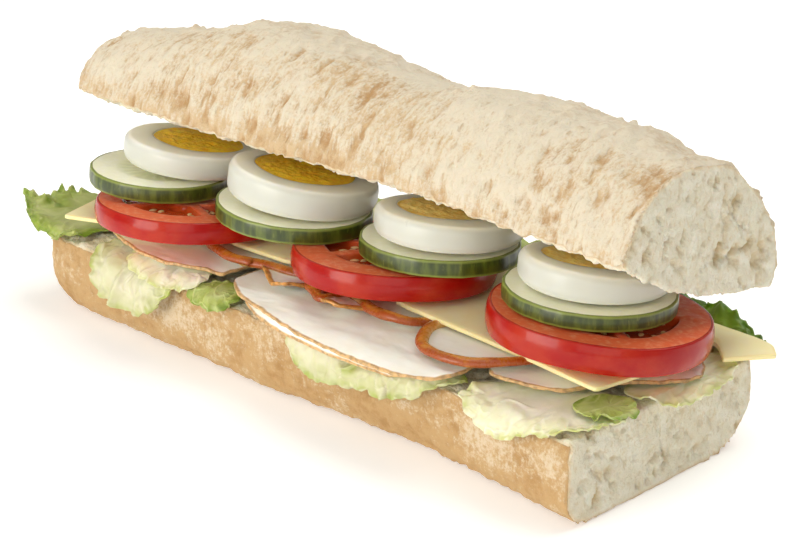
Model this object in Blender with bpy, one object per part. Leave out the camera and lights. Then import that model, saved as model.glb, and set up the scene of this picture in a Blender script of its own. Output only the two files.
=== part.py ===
"""A filled half baguette, cut through at its right end.

Bread, lettuce, ham, cheese, tomato, cucumber and egg.

Metres, +Z up. +X runs along the loaf to its cut end and -Y is the open front. The origin is on the
surface that the loaf rests on, under the middle of the whole sandwich. The sizes below are in
millimetres and mesh_object turns them into metres.
"""

import math

import bpy
import numpy as np
from mathutils import Vector, noise

MM = 0.001

# The loaf: both halves share its plan, and the top half sits on the filling, tipped up at the front
LEFT_END = -119.5
CUT_END = 108.0
LOAF_HALF_WIDTH = 37.6
LOAF_MIDDLE_Y = -0.6
BOTTOM_HEIGHT = 25.0
BOTTOM_FRONT_CORNER = 6.5
BOTTOM_BACK_CORNER = 4.5
FRONT_BULGE = 0.6
BACK_BULGE = 4.2
END_ROUNDING = 32.0
END_LIFT = 6.0
TOP_LEFT_END = -119.5
TOP_CUT_END = 111.0
TOP_WIDTH = 68.8
TOP_TIP = math.radians(18.65)
TOP_FRONT_EDGE = (-25.0, 67.3)
TOP_ARCH = 2.2
TOP_FRONT_CORNER = 2.5
TOP_BACK_CORNER = 2.15
TOP_BACK_FALL = 0.2
CUT_END_SAG = 5.4
SAG_START = 95.0
# How far the foot of the front wall lies inside (+) or outside (-) a straight line, along the loaf
FRONT_FOOT = (
    (-90, 0.6), (-55, 2), (-30, 1.8), (-12, 1.6), (0, 2.8), (20, 4.8), (37, 7.2), (54, 6.6),
    (68, 4.8), (80, 3), (90, 1),
    (100, -1), (108, -2),
)
BACK_FOOT = 5.0
RIM_DROP = 0.7
# Height of the top half above its cut face, along the loaf
TOP_HEIGHTS = (
    (-119.5, 20.5), (-104, 23), (-90, 25.2), (-73, 29), (-60, 31.6), (-50, 35), (-42, 35.8), (-31, 35.5),
    (-20, 34.2), (-8, 32.4), (8, 30), (20, 29.2), (28, 29.4), (38, 31.6), (46, 32.4), (58, 32.2), (66, 31.8),
    (75, 30.4), (82, 32.6), (88, 32.6), (93, 30.2), (103, 28.8), (111, 29),
)

# The filling is a stack of sheets that is thicker towards the front
STACK_BACK_Y = 25.0
STACK_BACK = 6.3
STACK_SLOPE = 0.09
LOW_LEAF = 0.14
HIGH_LEAF = 0.28
LOW_HAM = 0.41
HIGH_HAM = 0.62
CHEESE = 0.865
LEAF_THICK = 0.7
LEFT_TIP_LIFT = 0.016
HAM_THICK = 1.1
HAM_DROOP = 0.02
CHEESE_THICK = 1.7

# Round slices: centre of the upper face, its slope (how far its normal leans to +X and +Y),
# thickness and radius
TOMATOES = (
    ((-57.0, -18.5, 42.2), (-0.02, 0.10), 6.4, 28.0),
    ((14.0, -4.4, 41.7), (-0.02, 0.095), 7.0, 28.8),
    ((84.0, 1.0, 42.0), (0.03, 0.10), 7.6, 29.6),
)
CUCUMBERS = (
    ((-71.0, -18.2, 48.6), (0.03, 0.08), 4.8, 20.9),
    ((-20.6, -10.6, 48.07), (0.05, 0.07), 4.7, 22.5),
    ((27.2, -0.2, 47.3), (-0.02, 0.08), 4.8, 22.5),
    ((80.2, 1.0, 47.3), (0.01, 0.08), 4.4, 23.3),
)
# The same, then how much thicker a slice gets towards the front, the yolk's radius and its middle
EGGS = (
    ((-67.0, -8.5, 55.9), (0.05, 0.15), 6.9, 20.8, 0.04, 13.4, (0.2, 2.0)),
    ((-20.0, -6.5, 57.07), (0.08, 0.17), 8.1, 22.3, 0.06, 15.0, (-1.4, 1.4)),
    ((30.2, 0.8, 55.7), (-0.02, 0.16), 6.9, 21.5, 0.05, 13.6, (-2.6, 1.0)),
    ((80.4, 3.2, 54.2), (0.01, 0.2), 6.2, 20.8, 0.1, 12.0, (-2.6, -0.6)),
)
YOLK_GAP = 0.3
EGG_SIDES = 24

# Sheets: outline in plan, as it would lie flat. Past the loaf's front edge it hangs down.
LEAVES = {
    "lettuce_left_end": (
        (
            (-124.3, -30), (-118, -25), (-122.5, -17), (-114, -11), (-98, 2), (-86, 2), (-82, -12),
            (-87, -28),
            (-93, -41), (-105, -40), (-116, -36),
        ),
        LOW_LEAF,
    ),
    "lettuce_front_left": (
        (
            (-76, -27), (-60, -24), (-46, -27), (-40, -38), (-42, -46), (-52, -53), (-66, -54),
            (-76, -49), (-79, -37),
        ),
        LOW_LEAF,
    ),
    "lettuce_rib": (
        ((-62, -31), (-50, -28), (-35, -30), (-31, -37), (-35, -43), (-47, -45), (-58, -42), (-64, -36)),
        HIGH_LEAF,
    ),
    "lettuce_small_green": (
        ((-31, -31), (-21, -30), (-17, -36), (-18, -41), (-25, -44), (-33, -42), (-34, -36)),
        LOW_LEAF,
    ),
    "lettuce_front_middle": (
        (
            (10, -33), (9, -42), (12, -49), (22, -51), (34, -49), (46, -48), (57, -45), (65, -38), (66, -30),
            (46, -24), (24, -25),
        ),
        LOW_LEAF,
    ),
    "lettuce_front_right": (
        (
            (70, -35), (74, -41), (82, -46), (92, -45), (101, -41), (109, -35), (111, -26),
            (109, -15), (95, -13), (78, -22),
        ),
        LOW_LEAF,
    ),
    "lettuce_curl": (
        ((99, -28), (106, -30), (112, -26), (113, -19), (108, -14), (101, -15), (98, -21)),
        HIGH_LEAF,
    ),
    "lettuce_right_end": (
        ((99, -8), (107, -9), (114, -3), (115, 8), (113, 20), (109, 28), (101, 29), (97, 12)),
        LOW_LEAF,
    ),
    "lettuce_back_right": (
        ((68, 37), (80, 34), (92, 33), (103, 34), (111, 37.5), (106, 42), (93, 44.5), (80, 44), (69, 42)),
        LOW_LEAF,
    ),
    "lettuce_back_middle": (
        ((4, 25), (30, 24), (56, 25), (64, 32), (60, 40), (44, 45), (22, 46), (4, 42), (-2, 33)),
        LOW_LEAF,
    ),
    "lettuce_back_left": (
        ((-92, 17), (-70, 17), (-30, 22), (-12, 27), (-12, 38), (-32, 45), (-60, 43), (-84, 37), (-95, 27)),
        LOW_LEAF,
    ),
}
HAMS = {
    "ham_left": (
        (
            (-82, -30), (-60, -38), (-44, -38), (-34, -33), (-28, -28), (-31, 4), (-54, 14),
            (-82, 8), (-90, -12),
        ),
        LOW_HAM,
    ),
    "ham_middle": (
        (
            (-23, -33), (-15, -38.5), (-8.5, -40.8), (6, -44), (18.5, -45.8), (29, -46.4), (39, -46.7),
            (50, -46.6), (59, -45.2), (65.5, -42), (68, -36), (66, -24), (64, -2),
            (58, 18), (24, 24), (-8, 20), (-23, 0), (-24, -22),
        ),
        LOW_HAM,
    ),
    "ham_under": (
        (
            (-16, -35), (-6, -41), (10, -43.5), (34, -44), (54, -42), (56, -32), (30, -26),
            (0, -26), (-14, -29),
        ),
        HIGH_LEAF,
    ),
    "ham_ruffle": (
        (
            (-47, -20), (-40, -24.5), (-31, -27.5), (-25.5, -25), (-21, -24), (-15, -28), (-7.8, -32.4),
            (0, -34), (1.5, -28.5), (5, -27), (9.5, -30), (14.7, -33.2), (21, -33.6), (23, -27.5),
            (26, -25.5), (33, -27.5), (39.5, -26), (41.5, -20.5), (43.5, -14), (43, -5),
            (36, 12), (4, 18), (-28, 12), (-46, -4),
        ),
        HIGH_HAM,
    ),
    "ham_fold": (
        (
            (52, -33.5), (59.5, -36), (67.5, -34.5), (73, -30), (79, -22), (78, -10), (64, -6),
            (52, -10), (46.5, -17.5), (46.5, -25),
        ),
        HIGH_HAM,
    ),
    "ham_right": (
        (
            (70, -28), (82, -29), (93, -24), (99, -10), (108, 1), (111, 10), (103, 20), (90, 26),
            (74, 18), (68, -4),
        ),
        LOW_HAM,
    ),
}
CHEESES = {
    "cheese_left": (((-86, -44), (-43, -22), (-62, 22), (-105, 2)), CHEESE),
    "cheese_middle": (((-39, -21), (-12, -20), (-10, 26), (-56, 28)), CHEESE),
    "cheese_right": (((28, -20), (104, -25), (105, 8), (98, 22), (24, 28)), CHEESE),
    "cheese_back_right": (
        (
            (80, 31), (101, 29), (110, 20), (113.5, 27), (117, 34), (112.5, 38.5), (84, 38),
        ),
        HIGH_HAM,
    ),
}
FRONT_BEND_Y = -36.6
FRONT_BEND_RADIUS = 5.0
FRONT_BEND_ANGLE = math.radians(82)

# The whole is moved along the loaf by this much, so that its middle comes over the origin
MIDDLE_SHIFT = 3.6

# Colours: base colour, roughness
CRUST_TOP = ((0.80, 0.62, 0.40), 0.85)
CRUST_BASE = ((0.72, 0.46, 0.22), 0.8)
LETTUCE = ((0.62, 0.74, 0.34), 0.5)
HAM = ((0.86, 0.70, 0.58), 0.45)
CHEESE_COLOUR = ((0.91, 0.77, 0.45), 0.4)
TOMATO = ((0.72, 0.09, 0.04), 0.25)
CUCUMBER = ((0.30, 0.42, 0.14), 0.35)
EGG_WHITE = ((0.90, 0.89, 0.84), 0.3)
YOLK = ((0.84, 0.52, 0.10), 0.7)


def clear_scene():
    for old in list(bpy.data.objects):
        bpy.data.objects.remove(old, do_unlink=True)


def material(name, look):
    made = bpy.data.materials.new(name)
    made.use_nodes = True
    shader = made.node_tree.nodes["Principled BSDF"]
    colour, roughness = look
    shader.inputs["Base Color"].default_value = (*colour, 1.0)
    shader.inputs["Roughness"].default_value = roughness
    shader.inputs["Metallic"].default_value = 0.0
    return made


def mesh_object(name, points, faces, finish):
    """A smooth-shaded closed mesh from points in millimetres."""
    mesh = bpy.data.meshes.new(name)
    mesh.from_pydata((np.asarray(points) * MM).tolist(), [], faces)
    mesh.materials.append(finish)
    mesh.shade_smooth()
    mesh.set_sharp_from_angle(angle=math.radians(50))
    made = bpy.data.objects.new(name, mesh)
    bpy.context.scene.collection.objects.link(made)
    return made


def ripple(x, y, z=0.0, size=10.0):
    """Smooth noise from -1 to 1 whose lumps are about size millimetres across."""
    return noise.noise(Vector((x / size, y / size, z / size)))


def between(x, table):
    """Reads a table of (place, value) pairs, straight between them."""
    places, values = zip(*table)
    return float(np.interp(x, places, values))


def stitched_rings(rings):
    """Points and triangles of a closed body through rings of equal length, closed by a fan at each end."""
    count = len(rings[0])
    points = [p for ring in rings for p in ring]
    points += [np.mean(rings[0], axis=0), np.mean(rings[-1], axis=0)]
    first, last = len(points) - 2, len(points) - 1
    faces = []
    for k in range(len(rings) - 1):
        for i in range(count):
            j = (i + 1) % count
            a, b, c, d = k * count + i, k * count + j, (k + 1) * count + j, (k + 1) * count + i
            faces += [(a, b, c), (a, c, d)]
    end = (len(rings) - 1) * count
    for i in range(count):
        j = (i + 1) % count
        faces += [(first, j, i), (last, end + i, end + j)]
    return points, faces


def end_taper(x, end, reach, power=2.6):
    """1 along the loaf, falling to 0 at its rounded left end."""
    share = max(0.0, (end + reach - x) / reach)
    return max(0.0, 1 - share**power) ** (1 / power)


def stations(end, cut, count, reach):
    """Places along the loaf, closer together round its left end."""
    round_part = [end + reach * (1 - math.cos(a)) for a in np.linspace(0.22, math.pi / 2, 8)]
    return round_part + list(np.linspace(round_part[-1], cut, count))[1:]


def crust_relief(x, y, z):
    """Lumps of the crust, in millimetres."""
    return 0.55 * ripple(x, y, z, 9) + 0.35 * ripple(x, y, z, 4.5)


def bottom_ring(x):
    """Section of the bottom half: front edge, round under the base to the back edge, then the cut face."""
    taper = end_taper(x, LEFT_END, END_ROUNDING)
    near_end = max(0.0, (LEFT_END + 30 - x) / 30)
    floor = END_LIFT * near_end**2.2
    half = LOAF_HALF_WIDTH * taper
    ring = []
    for angle in np.linspace(0, math.pi, 17):
        across, down = -math.cos(angle), math.sin(angle)
        power = BOTTOM_FRONT_CORNER if across < 0 else BOTTOM_BACK_CORNER
        y = math.copysign(abs(across) ** (2 / power), across)
        depth = abs(down) ** (2 / power)
        bulge = (FRONT_BULGE if y < 0 else BACK_BULGE) * 4 * depth * (1 - depth)
        side = LOAF_MIDDLE_Y + y * (half + bulge * taper)
        if y < 0:
            side += between(x, FRONT_FOOT) * abs(y) ** 3 * (0.3 + 0.7 * depth)
        else:
            side -= BACK_FOOT * y**3 * depth
        z = BOTTOM_HEIGHT - (BOTTOM_HEIGHT + 0.7 - floor) * depth
        if 0 < angle < math.pi:
            side += crust_relief(x, side, z) * abs(y) ** 4
        else:
            z -= RIM_DROP
        ring.append((x, side, max(z, 0.0)))
    for share in np.linspace(1, -1, 9)[1:-1]:
        y = LOAF_MIDDLE_Y + half * share
        ring.append((x, y, BOTTOM_HEIGHT - 0.25 + 0.25 * ripple(x, y, 3, 12)))
    return ring


def bread_bottom(finish):
    rings = [bottom_ring(x) for x in stations(LEFT_END, CUT_END, 22, END_ROUNDING)]
    points, faces = stitched_rings(rings)
    return mesh_object("bread_bottom", points, faces, finish)


def swell(away, spread):
    """1 at its middle, falling smoothly to 0 a few spreads away."""
    return math.exp(-((away / spread) ** 2))


def score_relief(x, across):
    """The raised ear, the dip between the two slashes and the burst ridges on the top of the loaf."""
    ear = 1.5 * swell(across - 0.08 - 0.004 * (x + 30), 0.22) * swell(x + 25, 42)
    second = 1.3 * swell(across + 0.05 - 0.004 * (x - 75), 0.2) * swell(x - 72, 30)
    waist = -1.2 * swell(x - 27, 11) * swell(across - 0.3, 0.5)
    return ear + second + waist


def top_edge_height(x):
    """How far the front edge of the top half arches above its ends."""
    return TOP_ARCH * swell(x - 32, 34)


def cut_end_sag(x, share):
    """How far the soft crumb hangs down towards the cut end. share is -1 at the front and 1 at the back."""
    near_end = min(1.0, max(0.0, (x - SAG_START) / (TOP_CUT_END - 2 - SAG_START)))
    return CUT_END_SAG * near_end**2 * (3 - 2 * near_end) * math.cos(math.pi / 2 * share) ** 0.8


def top_ring(x):
    """Section of the top half in its own frame: along its width u, and up from its cut face n."""
    taper = end_taper(x, TOP_LEFT_END, END_ROUNDING, 2.4)
    half = TOP_WIDTH / 2 * taper
    height = between(x, TOP_HEIGHTS) * end_taper(x, TOP_LEFT_END, 22, 2.2)
    ring = []
    for angle in np.linspace(0, math.pi, 23):
        across, up = -math.cos(angle), math.sin(angle)
        power = TOP_FRONT_CORNER if across < 0 else TOP_BACK_CORNER
        u = math.copysign(abs(across) ** (2 / power), across)
        n = height * up ** (2 / power)
        if 0 < angle < math.pi:
            lump = crust_relief(x, u * 30, n) * 1.5 * up + score_relief(x, u) * up**2 * taper
            n = n * (1 - TOP_BACK_FALL * max(0.0, across)) + lump
        ring.append((x, TOP_WIDTH / 2 + half * u, n))
    for share in np.linspace(1, -1, 9)[1:-1]:
        u = TOP_WIDTH / 2 + half * share
        ring.append((x, u, 0.2 + 0.2 * ripple(x, u, 8, 12) - cut_end_sag(x, share)))
    return ring


def tipped(point):
    """From the top half's own frame to the sandwich's."""
    x, u, n = point
    y0, z0 = TOP_FRONT_EDGE
    y = y0 + u * math.cos(TOP_TIP) + n * math.sin(TOP_TIP)
    z = z0 + top_edge_height(x) - u * math.sin(TOP_TIP) + n * math.cos(TOP_TIP)
    return (x, y, z)


def bread_top(finish):
    rings = [[tipped(p) for p in top_ring(x)] for x in stations(TOP_LEFT_END, TOP_CUT_END, 27, END_ROUNDING)]
    points, faces = stitched_rings(rings)
    return mesh_object("bread_top", points, [face[::-1] for face in faces], finish)


def slice_frame(slope):
    """Rotation that lays a flat slice on its slope."""
    normal = Vector((slope[0], slope[1], 1.0))
    return Vector((0, 0, 1)).rotation_difference(normal)


def round_slice(name, centre, slope, rows, finish):
    """A slice through rows of (angle, radius, height), from its lower middle to its upper middle."""
    rings = [[(r * math.cos(a), r * math.sin(a), z) for a, r, z in row] for row in rows]
    points, faces = stitched_rings(rings)
    made = mesh_object(name, points, faces, finish)
    made.rotation_mode = "QUATERNION"
    made.rotation_quaternion = slice_frame(slope)
    made.location = Vector(centre) * MM
    return made


def circle_row(count, radius, height):
    """One ring of a slice. radius and height are functions of the angle."""
    return [(a, radius(a), height(a)) for a in np.linspace(0, 2 * math.pi, count, endpoint=False)]


def locule(angle, share, turn):
    """1 in the seed chambers of a tomato slice and 0 in its walls. share is the place from middle to skin."""
    radial = max(0.0, 1 - ((share - 0.56) / 0.25) ** 2)
    wall = abs(math.sin(2.5 * (angle + turn)))
    return min(1.0, 2.2 * radial) * min(1.0, 1.7 * wall)


def tomato(index, finish):
    centre, slope, thick, radius = TOMATOES[index]
    turn = 0.5 + 1.3 * index
    sides = 24

    def skin(angle):
        return radius * (1 + 0.012 * math.sin(3 * angle + index) + 0.008 * math.sin(5 * angle + 2 * index))

    rows = []
    for share in (0.3, 0.93):
        rows.append(circle_row(sides, lambda a, s=share: skin(a) * s, lambda a: -thick))
    rows.append(circle_row(sides, skin, lambda a: -thick * 0.75))
    rows.append(circle_row(sides, skin, lambda a: -thick * 0.3))
    rows.append(circle_row(sides, lambda a: skin(a) * 0.985, lambda a: -0.5))
    for share in (0.94, 0.78, 0.6, 0.42, 0.2):
        rows.append(
            circle_row(sides, lambda a, s=share: skin(a) * s, lambda a, s=share: -1.6 * locule(a, s, turn))
        )
    return round_slice(f"tomato_{index + 1}", centre, slope, rows, finish)


def cucumber(index, finish):
    centre, slope, thick, radius = CUCUMBERS[index]
    sides = 28

    def skin(angle):
        flats = 0.010 * abs(math.sin(6 * angle + index))
        return radius * (0.99 + flats + 0.008 * math.sin(2 * angle + index))

    rows = [
        circle_row(sides, lambda a: skin(a) * 0.97, lambda a: -thick),
        circle_row(sides, skin, lambda a: -thick * 0.85),
        circle_row(sides, skin, lambda a: -0.6),
        circle_row(sides, lambda a: skin(a) * 0.975, lambda a: -0.05),
        circle_row(sides, lambda a: skin(a) * 0.5, lambda a: -0.25),
    ]
    return round_slice(f"cucumber_{index + 1}", centre, slope, rows, finish)


def egg_outline(index, angle, radius):
    return radius * (1 + 0.014 * math.cos(2 * angle + index) + 0.006 * math.sin(3 * angle + 2 * index))


def yolk_outline(index, angle, radius):
    return radius * (1 + 0.03 * math.cos(2 * angle + 1.4 * index) + 0.015 * math.sin(5 * angle + index))


def egg_white(index, finish):
    """A thick ring: the slice of white round its yolk."""
    centre, slope, thick, radius, wedge, yolk_radius, off = EGGS[index]
    points, faces = [], []
    side = (("rim", 0.9, 1), ("rim", 0.99, 0.64), ("rim", 0.99, 0.24), ("rim", 0.93, 0))
    profile = (("yolk", 0, 1), *side, ("yolk", 0, 0))
    for kind, share, depth in profile:
        for a in np.linspace(0, 2 * math.pi, EGG_SIDES, endpoint=False):
            if kind == "yolk":
                r = yolk_outline(index, a, yolk_radius) + YOLK_GAP
                x, y = off[0] + r * math.cos(a), off[1] + r * math.sin(a)
            else:
                r = egg_outline(index, a, radius) * share
                x, y = r * math.cos(a), r * math.sin(a)
            points.append((x, y, -depth * (thick - wedge * y)))
    rows = len(profile)
    for k in range(rows):
        for i in range(EGG_SIDES):
            j = (i + 1) % EGG_SIDES
            below, above = k * EGG_SIDES, ((k + 1) % rows) * EGG_SIDES
            faces += [(below + i, below + j, above + j), (below + i, above + j, above + i)]
    made = mesh_object(f"egg_white_{index + 1}", points, faces, finish)
    made.rotation_mode = "QUATERNION"
    made.rotation_quaternion = slice_frame(slope)
    made.location = Vector(centre) * MM
    return made


def yolk(index, finish):
    """The yolk goes right through its slice."""
    centre, slope, thick, _, wedge, radius, off = EGGS[index]

    def outline(angle):
        return yolk_outline(index, angle, radius)

    def under(angle):
        return wedge * (off[1] + outline(angle) * math.sin(angle)) - thick + 0.1

    rows = [
        circle_row(EGG_SIDES, outline, under),
        circle_row(EGG_SIDES, outline, lambda a: -0.35),
        circle_row(EGG_SIDES, lambda a: outline(a) * 0.5, lambda a: -0.15),
    ]
    turn = slice_frame(slope)
    middle = Vector(centre) + turn @ Vector((off[0], off[1], 0))
    return round_slice(f"egg_yolk_{index + 1}", middle, slope, rows, finish)


def stack_height(y):
    """Thickness of the whole stack of sheets under the round slices."""
    return STACK_BACK + STACK_SLOPE * max(0.0, STACK_BACK_Y - max(y, -44.0))


def level(share, y):
    return BOTTOM_HEIGHT + share * stack_height(y)


def laid(x, y, share, lift=0.0):
    """Where a point of a flat sheet comes to lie: on the stack, and down over the loaf's front edge."""
    droop = 0.012 * max(0.0, x - CUT_END) ** 2 + 0.004 * max(0.0, LEFT_END + 4 - x) ** 2
    past = FRONT_BEND_Y - y
    if past <= 0 or share > HIGH_LEAF:
        return np.array((x, y, level(share, y) + lift - droop))
    radius = FRONT_BEND_RADIUS + level(share, FRONT_BEND_Y) - level(LOW_LEAF, FRONT_BEND_Y) + lift
    angle = min(past / radius, FRONT_BEND_ANGLE)
    rest = past - radius * angle
    down = radius * (1 - math.cos(angle)) + rest * math.sin(angle)
    out = radius * math.sin(angle) + rest * math.cos(angle)
    return np.array((x, FRONT_BEND_Y - out, level(share, FRONT_BEND_Y) + lift - down - droop))


def closed_curve(corners, count):
    """Points on a smooth closed curve through the corners."""
    corners = np.asarray(corners, float)
    total = len(corners)
    curve = []
    for t in np.linspace(0, total, count, endpoint=False):
        i, f = int(t), t - int(t)
        a, b, c, d = (corners[(i + k) % total] for k in (-1, 0, 1, 2))
        squared, cubed = 2 * a - 5 * b + 4 * c - d, 3 * b - a - 3 * c + d
        curve.append(0.5 * (2 * b + (c - a) * f + squared * f**2 + cubed * f**3))
    return np.array(curve)


def straight_outline(corners, count):
    """Points along the straight sides between the corners, the corners among them."""
    per_side = max(2, count // len(corners))
    pairs = zip(corners, corners[1:] + corners[:1])
    points = [np.array(a) + (np.array(b) - a) * k / per_side for a, b in pairs for k in range(per_side)]
    return np.array(points)


def sheet(name, outline, place, thick, shares, finish):
    """A thin closed body: both faces carry the same rings of points, place(x, y, share) sets each point."""
    middle = outline.mean(axis=0)
    step = 0.4

    def at(p, share):
        return place(p[0], p[1], share)

    def normal(p, share):
        along = at(p + (step, 0), share) - at(p - (step, 0), share)
        across = at(p + (0, step), share) - at(p - (0, step), share)
        found = np.cross(along, across)
        return found / np.linalg.norm(found)

    upper, lower = [], []
    for share in shares:
        half = thick / 2 * (0.75 if share == 1 else 1)
        flat = [middle + share * (p - middle) for p in outline]
        solid = [at(p, share) for p in flat]
        lean = [normal(p, share) for p in flat]
        upper.append([p + n * half for p, n in zip(solid, lean)])
        lower.append([p - n * half for p, n in zip(solid, lean)])
    points, faces = stitched_rings(lower + upper[::-1])
    area = np.cross(outline, np.roll(outline, -1, axis=0)).sum()
    if area < 0:
        faces = [face[::-1] for face in faces]
    return mesh_object(name, points, faces, finish)


def lettuce(name, finish):
    corners, share = LEAVES[name]
    phase = sum(map(ord, name))
    at_back = name.startswith("lettuce_back")

    def place(x, y, edge):
        frill = edge**2 * (1 + math.sin(x * 0.55 + y * 0.8 + phase))
        wave = edge * (1 + ripple(x, y, phase, 8))
        lift = (0.17 * frill + 0.1 * wave) * (stack_height(y) / stack_height(-40)) ** 2
        if name == "lettuce_left_end":
            lift += LEFT_TIP_LIFT * max(0.0, -108 - x) ** 2
        if at_back:
            curl = max(0.0, y - 38.5)
            lift += 0.9 * curl + 0.35 * curl * math.sin(x * 0.42 + phase)
        return laid(x, y, share, lift)

    over_edge = min(y for _, y in corners) < -40
    outline = closed_curve(corners, 20)
    shares = (0.4, 0.6, 0.8, 0.9, 1) if over_edge else (0.4, 0.75, 1)
    return sheet(name, outline, place, LEAF_THICK, shares, finish)


def ham(name, finish):
    corners, share = HAMS[name]

    def place(x, y, edge):
        lift = 0.1 * ripple(x, y, 5, 14)
        if name == "ham_ruffle" and y < -22:
            rise = min(1.0, (-22 - y) / 10)
            lift += 1.3 * rise * (1 + math.sin((x + 4.5) * 2 * math.pi / 18))
        if name == "ham_middle":
            lift -= HAM_DROOP * max(0.0, LOAF_MIDDLE_Y - LOAF_HALF_WIDTH - y) ** 2
        if name == "ham_fold":
            lift += 0.7 * swell(y + 24, 6)
        return laid(x, y, share, lift)

    outline = closed_curve(corners, 48 if name == "ham_ruffle" else 24)
    return sheet(name, outline, place, HAM_THICK, (0.4, 0.8, 1), finish)


def cheese(name, finish):
    corners, share = CHEESES[name]

    def place(x, y, edge):
        sag = 1.4 * max(0.0, (x - 88) / 18) ** 2 if name == "cheese_right" and y < 0 else 0.0
        return laid(x, y, share, -sag)

    outline = straight_outline(corners, 16)
    return sheet(name, outline, place, CHEESE_THICK, (0.5, 1), finish)


def centre_on_origin():
    for made in bpy.data.objects:
        made.location.x += MIDDLE_SHIFT * MM


def build():
    clear_scene()
    bread_bottom(material("crust_base", CRUST_BASE))
    bread_top(material("crust_top", CRUST_TOP))
    finishes = {
        "lettuce": material("lettuce", LETTUCE),
        "ham": material("ham", HAM),
        "cheese": material("cheese", CHEESE_COLOUR),
        "tomato": material("tomato", TOMATO),
        "cucumber": material("cucumber", CUCUMBER),
        "egg_white": material("egg_white", EGG_WHITE),
        "egg_yolk": material("egg_yolk", YOLK),
    }
    for name in LEAVES:
        lettuce(name, finishes["lettuce"])
    for name in HAMS:
        ham(name, finishes["ham"])
    for name in CHEESES:
        cheese(name, finishes["cheese"])
    for index in range(len(TOMATOES)):
        tomato(index, finishes["tomato"])
    for index in range(len(CUCUMBERS)):
        cucumber(index, finishes["cucumber"])
    for index in range(len(EGGS)):
        egg_white(index, finishes["egg_white"])
        yolk(index, finishes["egg_yolk"])
    centre_on_origin()


build()
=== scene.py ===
"""Half baguette opened along its front and filled: crust, crumb, leaves, ham, cheese and round slices."""

import math

import bmesh
import bpy
import numpy as np
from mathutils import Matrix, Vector
from mathutils.kdtree import KDTree


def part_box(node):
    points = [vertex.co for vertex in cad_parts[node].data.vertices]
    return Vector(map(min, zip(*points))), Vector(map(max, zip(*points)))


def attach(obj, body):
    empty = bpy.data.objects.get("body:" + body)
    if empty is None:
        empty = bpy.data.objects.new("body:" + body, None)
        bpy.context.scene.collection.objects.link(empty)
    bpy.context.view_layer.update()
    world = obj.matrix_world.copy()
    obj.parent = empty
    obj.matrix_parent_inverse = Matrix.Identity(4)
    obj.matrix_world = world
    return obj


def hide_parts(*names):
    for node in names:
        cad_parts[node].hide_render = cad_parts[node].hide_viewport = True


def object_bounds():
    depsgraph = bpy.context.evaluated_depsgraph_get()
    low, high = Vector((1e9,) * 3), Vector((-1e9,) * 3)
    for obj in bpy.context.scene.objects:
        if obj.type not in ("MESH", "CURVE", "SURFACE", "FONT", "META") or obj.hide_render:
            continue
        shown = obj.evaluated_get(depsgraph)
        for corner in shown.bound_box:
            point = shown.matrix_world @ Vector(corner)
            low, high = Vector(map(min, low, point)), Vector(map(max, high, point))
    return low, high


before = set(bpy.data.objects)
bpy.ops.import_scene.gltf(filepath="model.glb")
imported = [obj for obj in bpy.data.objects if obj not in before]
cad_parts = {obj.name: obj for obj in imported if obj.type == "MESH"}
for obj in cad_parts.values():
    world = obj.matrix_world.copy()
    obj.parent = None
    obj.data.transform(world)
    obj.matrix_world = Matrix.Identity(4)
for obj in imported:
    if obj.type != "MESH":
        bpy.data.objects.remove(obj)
cad_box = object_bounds()

MM = 0.001

# The loaf, in millimetres
CUT_END_BOTTOM = 111.6
CUT_END_TOP = 114.6
BOTTOM_FACE = 24.0
TOP_FRONT_EDGE = (-25.0, 67.3)
TOP_TIP = math.radians(18.65)
TOP_ARCH = (2.2, 35.6, 34.0)
BREAD_GRAIN = 0.78
BURST_TURN = math.radians(32)

# Leaves, ham and cheese, in millimetres: where they come free and where they hang
FRONT_FREE = (-27, -37)
BACK_FREE = (31, 38)
RIGHT_FREE = (106, 113)
LEFT_FREE = (-108, -115)
HANG_FROM, HANG_TO = -35, -43
HANG_TURN = math.radians(78)
RIBBON_WIDE, RIBBON_TALL, RIBBON_LIFT = 1.75, 1.2, 0.35
RIBBON_POINTS, RIBBON_SIDES, RIBBON_ROUNDS = 480, 12, 34

# Tomato seeds: how many, how many tries, and how far apart in millimetres
SEEDS_WANTED, SEED_TRIES, SEED_GAP = 34, 900, 2.1

# Egg white, in millimetres: how its upper and lower rims round off
EGG_RIM_IN, EGG_RIM_DROP = 2.0, 2.2
EGG_FOOT_IN, EGG_FOOT_RISE = 2.4, 2.9

# Photograph's view, in millimetres
CAMERA_PLACE = (425.4, -419.2, 263.7)
CAMERA_TARGET = (31.6, -17.0, 42.0)
CAMERA_LENS = 100.0

# Studio: half the floor in millimetres, then each light's place, width and power in metres and watts
FLOOR_HALF = 3000
WARM_LIGHT = (1.0, 0.975, 0.915)
LIGHTS = (
    ("key", (-0.35, -0.8, 0.78), 0.9, 2.0),
    ("low", (-0.15, -1.0, 0.28), 0.6, 6.2),
    ("front", (0.65, -0.8, 0.42), 0.7, 2.2),
    ("overhead", (0.1, 0.45, 1.1), 1.1, 10.5),
)
LIGHTS_AIM = (0, 0, 0.04)

# Random lumps, cells and dents

OCTAVE_TURN = np.array([[0.36, 0.48, -0.8], [-0.8, 0.6, 0.0], [0.48, 0.64, 0.6]])


def grid_number(cells, seed):
    """A repeatable number from 0 to 1 for each whole cell of a grid."""
    x, y, z = (cells[..., k].astype(np.int64).astype(np.uint64) for k in range(3))
    key = x * np.uint64(73856093) ^ y * np.uint64(19349663) ^ z * np.uint64(83492791)
    key = (key + np.uint64(seed * 668265263)) * np.uint64(11400714819323198485)
    key ^= key >> np.uint64(29)
    key *= np.uint64(14029467366897019727)
    return (key >> np.uint64(40)).astype(float) / 2**24


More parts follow.
